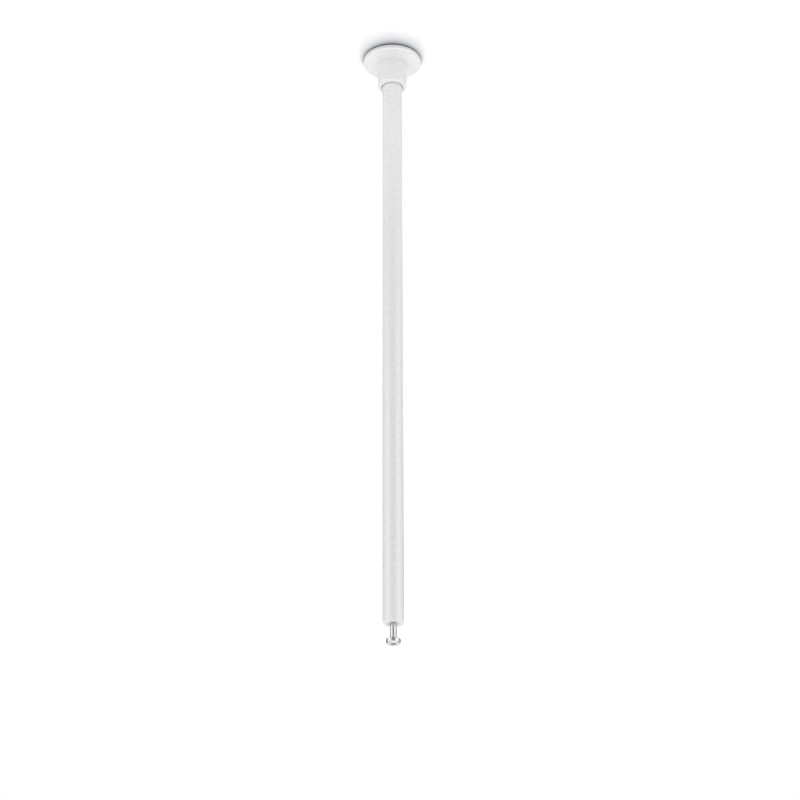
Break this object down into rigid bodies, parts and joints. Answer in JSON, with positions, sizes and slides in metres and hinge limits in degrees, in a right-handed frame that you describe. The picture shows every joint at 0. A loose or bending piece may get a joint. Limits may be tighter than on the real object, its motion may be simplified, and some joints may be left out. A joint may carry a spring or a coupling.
{
  "type": "ceiling suspension rod",
  "caption": "White ceiling suspension rod with a sliding collar and canopy, and a swivelling headed pin that carries a track, rail or sign.",
  "frame": {"origin": "centre of the circle of ceiling screws, at the ceiling face", "axes": "+Z along the rod, up into the ceiling; +Y towards the side that carries the grub screws"},
  "size_m": [0.055, 0.055, 0.6],
  "materials": {
    "powder_coat": "satin white powder coat with a fine orange peel",
    "bright_nickel": "polished nickel plate",
    "zinc_steel": "bright zinc plate",
    "black_steel": "black oxide, lightly oiled",
    "nylon": "natural nylon, matt"
  },
  "bodies": {
    "rod": {"ceiling_plate": "zinc_steel", "plate_stud": "zinc_steel", "lock_nut": "zinc_steel", "lock_washer": "zinc_steel", "top_insert": "zinc_steel", "cross_pin": "black_steel", "tube": "powder_coat", "end_bush": "powder_coat", "pin_bearing": "nylon"},
    "collar": {"collar": "powder_coat", "upper_liner": "nylon", "lower_liner": "nylon"},
    "canopy": {"canopy": "powder_coat", "canopy_grommet": "nylon"},
    "left_set_screw": {"set_screw_left": "black_steel", "screw_tip_left": "nylon"},
    "right_set_screw": {"set_screw_right": "black_steel", "screw_tip_right": "nylon"},
    "swivel_pin": {"headed_pin": "bright_nickel", "thrust_washer": "zinc_steel", "wave_washer": "zinc_steel", "pin_nut": "zinc_steel"}
  },
  "joints": [
    {"name": "collar_slide", "type": "slide", "parent": "rod", "child": "collar", "axis": [0, 0, -1], "range_m": [0, 0.54]},
    {"name": "canopy_turn", "type": "hinge", "parent": "collar", "child": "canopy", "pos_m": [0, 0, -0.004], "axis": [0, 0, 1], "continuous": true},
    {"name": "left_set_screw_travel", "type": "slide", "parent": "collar", "child": "left_set_screw", "axis": [-0.7071, 0.7071, 0], "range_m": [0, 0.0015]},
    {"name": "right_set_screw_travel", "type": "slide", "parent": "collar", "child": "right_set_screw", "axis": [0.7071, 0.7071, 0], "range_m": [0, 0.0015]},
    {"name": "pin_swivel", "type": "hinge", "parent": "rod", "child": "swivel_pin", "pos_m": [0, 0, -0.58], "axis": [0, 0, 1], "continuous": true}
  ]
}
